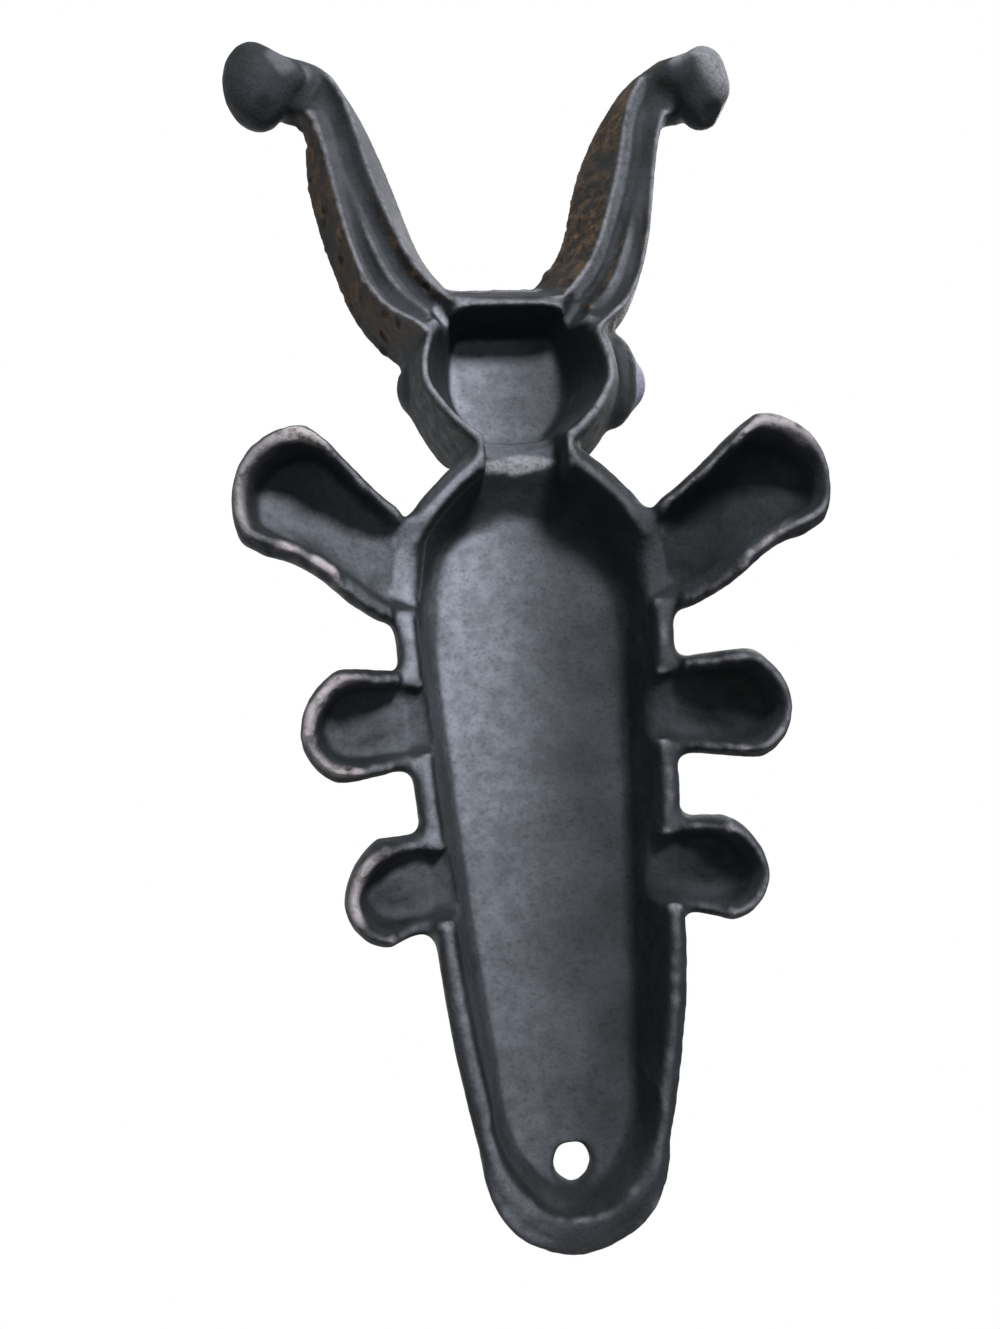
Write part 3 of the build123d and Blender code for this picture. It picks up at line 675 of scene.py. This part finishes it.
def painted_iron():
    """Black satin paint with painted light: pale hollow floors for the lamps' sheen, painted highlights
    and a lighter top; worn to metal on rims and feet, rusty on the horns.
    """
    t = Tree("black_paint_over_iron")
    coarse = t.noise(14, 4)
    mottle = t.noise(3.2, 5, 0.65)
    fine = t.noise(0.8, 4, 0.6)
    paint = t.mix(t.between(coarse, 0.35, 0.7), BLACK_PAINT, WORN_PAINT)
    # The top is painted lighter than the underside: painted sheen.
    top_sheen = t.mix(t.between(mottle, 0.3, 0.7), TOP_SHEEN_DIM, TOP_SHEEN)
    paint = t.mix(t.attribute("top"), paint, top_sheen)
    # Painted light on the hollow floors, in place of the lamps' sheen and its shadows.
    hollow_light = t.mix(t.between(mottle, 0.35, 0.65), HOLLOW_LIGHT_DIM, HOLLOW_LIGHT)
    colour = t.mix(t.times("pan_floor_light", t.between(coarse, 0.2, 0.7, 0.75, 1.0)), paint, hollow_light)
    # Painted highlights on ridges, lit sides and a lit patch, with worn edges on top.
    colour = t.mix(t.times("ridge_highlight_and_wear", t.between(mottle, 0.25, 0.6, 0.5, 1.0)), colour, RIDGE_HIGHLIGHT_AND_WEAR)
    rust_colour = t.mix(t.between(mottle, 0.42, 0.64), RUST_DARK, RUST)
    colour = t.mix(t.times("rust", 0.95), colour, rust_colour)
    # Worn metal on the rims, partly a painted glint.
    colour = t.mix(t.times("edge", t.between(mottle, 0.30, 0.62, 0.25, 0.95)), colour, BARE_METAL_AND_GLINT)
    colour = t.mix(t.times("fork_band", t.between(fine, 0.35, 0.65, 0.2, 0.8)), colour, BARE_METAL_AND_GLINT)
    # Painted highlight on the saddle's crest and the right knob's lit side.
    colour = t.mix(t.times("crest", t.between(fine, 0.3, 0.6, 0.5, 1.0)), colour, BARE_METAL_AND_GLINT)
    foot_colour = t.mix(t.between(mottle, 0.30, 0.50), FOOT_BROWN, FOOT_METAL)
    colour = t.mix(t.times("foot", t.between(t.noise(6, 3), 0.25, 0.42)), colour, foot_colour)
    # Painted highlight on the right eye.
    colour = t.mix(t.times("eye", 0.85), colour, EYE_HIGHLIGHT)
    specks = t.between(t.noise(1.0, 3, 0.6), 0.28, 0.52, 0.72, 1.0)
    shade = t.nodes.new("ShaderNodeVectorMath")
    shade.operation = "SCALE"
    t.put(shade.inputs[0], colour)
    t.put(shade.inputs["Scale"], specks)
    t.put(t.shader.inputs["Base Color"], shade.outputs[0])
    rough = t.between(mottle, 0.3, 0.7, ROUGH_LOW, ROUGH_HIGH)
    rough = t.math("SUBTRACT", rough, t.times("top", TOP_SMOOTHER))
    t.put(t.shader.inputs["Roughness"], rough)
    t.put(t.shader.inputs["Specular IOR Level"], SPECULAR)
    grainy = t.bump(fine, 0.20, 0.8)
    t.put(t.shader.inputs["Normal"], t.bump(mottle, 0.16, 0.5, grainy))
    return t.material


casting.data.materials.clear()
casting.data.materials.append(painted_iron())
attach(casting, sorted(frame["bodies"])[0])
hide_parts(*NODES)

# ---------------------------------------------------------------- camera

CAMERA_PLACE = Vector((-30.13, 20.76, -187.42)) * MM
PITCH = math.radians(-0.97199801)
TURN = math.radians(-6.11824076)
ROLL = math.radians(-3.13091168)
FOCAL_PIXELS = 997
FRAME_HEIGHT = 1329
SENSOR = 36.0
CLIP_START, CLIP_END = 0.01, 50

camera_data = bpy.data.cameras.new("camera")
camera_data.sensor_width = SENSOR
camera_data.lens = FOCAL_PIXELS / FRAME_HEIGHT * SENSOR
camera_data.clip_start = CLIP_START
camera_data.clip_end = CLIP_END
camera = bpy.data.objects.new("camera", camera_data)
bpy.context.scene.collection.objects.link(camera)
spin = (
    Matrix.Rotation(ROLL, 3, "Z") @ Matrix.Rotation(PITCH, 3, "X") @ Matrix.Rotation(TURN, 3, "Y")
)
camera.matrix_world = Matrix.Translation(CAMERA_PLACE) @ Matrix(
    (spin[0], -spin[1], -spin[2])
).transposed().to_4x4()
bpy.context.scene.camera = camera
bpy.context.scene.view_settings.view_transform = "Standard"

# ---------------------------------------------------------------- floor

FLOOR_HALF = 3.0
FLOOR_DROP = 0.3 * MM
FLOOR_COLOUR = (0.86, 0.86, 0.85, 1)
FLOOR_ROUGHNESS = 0.9
GLOW_COLOUR = (0.97, 0.97, 0.97, 1)
FADE_FROM, FADE_TO = 0.25, 0.80


def pale_floor():
    """Pale from above, glowing to white further out, and clear from below, where the camera stands."""
    material = bpy.data.materials.new("pale_floor")
    material.use_nodes = True
    tree = material.node_tree
    shader = tree.nodes["Principled BSDF"]
    shader.inputs["Base Color"].default_value = FLOOR_COLOUR
    shader.inputs["Roughness"].default_value = FLOOR_ROUGHNESS
    glow = tree.nodes.new("ShaderNodeEmission")
    glow.inputs["Color"].default_value = GLOW_COLOUR
    place = tree.nodes.new("ShaderNodeTexCoord")
    distance = tree.nodes.new("ShaderNodeVectorMath")
    distance.operation = "LENGTH"
    tree.links.new(place.outputs["Object"], distance.inputs[0])
    fade = tree.nodes.new("ShaderNodeMapRange")
    fade.interpolation_type = "SMOOTHSTEP"
    fade.inputs["From Min"].default_value = FADE_FROM
    fade.inputs["From Max"].default_value = FADE_TO
    tree.links.new(distance.outputs["Value"], fade.inputs["Value"])
    seen = tree.nodes.new("ShaderNodeLightPath")
    share = tree.nodes.new("ShaderNodeMath")
    share.operation = "MULTIPLY"
    tree.links.new(fade.outputs["Result"], share.inputs[0])
    tree.links.new(seen.outputs["Is Camera Ray"], share.inputs[1])
    upper = tree.nodes.new("ShaderNodeMixShader")
    tree.links.new(share.outputs[0], upper.inputs[0])
    tree.links.new(shader.outputs[0], upper.inputs[1])
    tree.links.new(glow.outputs[0], upper.inputs[2])
    clear = tree.nodes.new("ShaderNodeBsdfTransparent")
    side = tree.nodes.new("ShaderNodeNewGeometry")
    mix = tree.nodes.new("ShaderNodeMixShader")
    tree.links.new(side.outputs["Backfacing"], mix.inputs[0])
    tree.links.new(upper.outputs[0], mix.inputs[1])
    tree.links.new(clear.outputs[0], mix.inputs[2])
    tree.links.new(mix.outputs[0], tree.nodes["Material Output"].inputs["Surface"])
    return material


floor_mesh = bpy.data.meshes.new("floor")
floor_mesh.from_pydata(
    [
        (-FLOOR_HALF, -FLOOR_HALF, -FLOOR_DROP),
        (FLOOR_HALF, -FLOOR_HALF, -FLOOR_DROP),
        (FLOOR_HALF, FLOOR_HALF, -FLOOR_DROP),
        (-FLOOR_HALF, FLOOR_HALF, -FLOOR_DROP),
    ],
    [],
    [(0, 1, 2, 3)],
)
floor = bpy.data.objects.new("floor", floor_mesh)
bpy.context.scene.collection.objects.link(floor)
floor.data.materials.append(pale_floor())
floor.visible_diffuse = False
floor.visible_glossy = False
floor.visible_transmission = False
floor.visible_shadow = False

# ---------------------------------------------------------------- world and lamps

AMBIENT = 0.16

world = bpy.data.worlds.new("studio")
bpy.context.scene.world = world
world.use_nodes = True
sky = world.node_tree


def larger(one, two):
    made = sky.nodes.new("ShaderNodeMath")
    made.operation = "MAXIMUM"
    sky.links.new(one, made.inputs[0])
    sky.links.new(two, made.inputs[1])
    return made.outputs[0]


# White where it is seen, straight, mirrored or through something. Elsewhere it gives soft light.
path = sky.nodes.new("ShaderNodeLightPath")
seen = larger(path.outputs["Is Camera Ray"], path.outputs["Is Glossy Ray"])
seen = larger(seen, path.outputs["Is Transmission Ray"])
level = sky.nodes.new("ShaderNodeMapRange")
level.inputs["To Min"].default_value = AMBIENT
level.inputs["To Max"].default_value = 1.0
sky.links.new(seen, level.inputs["Value"])
background = sky.nodes["Background"]
background.inputs["Color"].default_value = (1, 1, 1, 1)
sky.links.new(level.outputs["Result"], background.inputs["Strength"])


def lamp(name, place, size, power, aim=(0, 0, 0.02)):
    """A round lamp that faces the part."""
    data = bpy.data.lights.new(name, "AREA")
    data.shape = "DISK"
    data.size = size
    data.energy = power
    made = bpy.data.objects.new(name, data)
    bpy.context.scene.collection.objects.link(made)
    made.location = place
    made.rotation_euler = (Vector(aim) - Vector(place)).to_track_quat("-Z", "Y").to_euler()


lamp("key_below", (0.15, -0.42, -0.50), 0.14, 9.0)
lamp("fill_below", (-0.50, -0.05, -0.40), 0.50, 0.7)
lamp("key_above", (0.50, -0.45, 0.75), 0.55, 9.0)
lamp("fill_above", (-0.70, 0.30, 0.60), 0.80, 4.0)
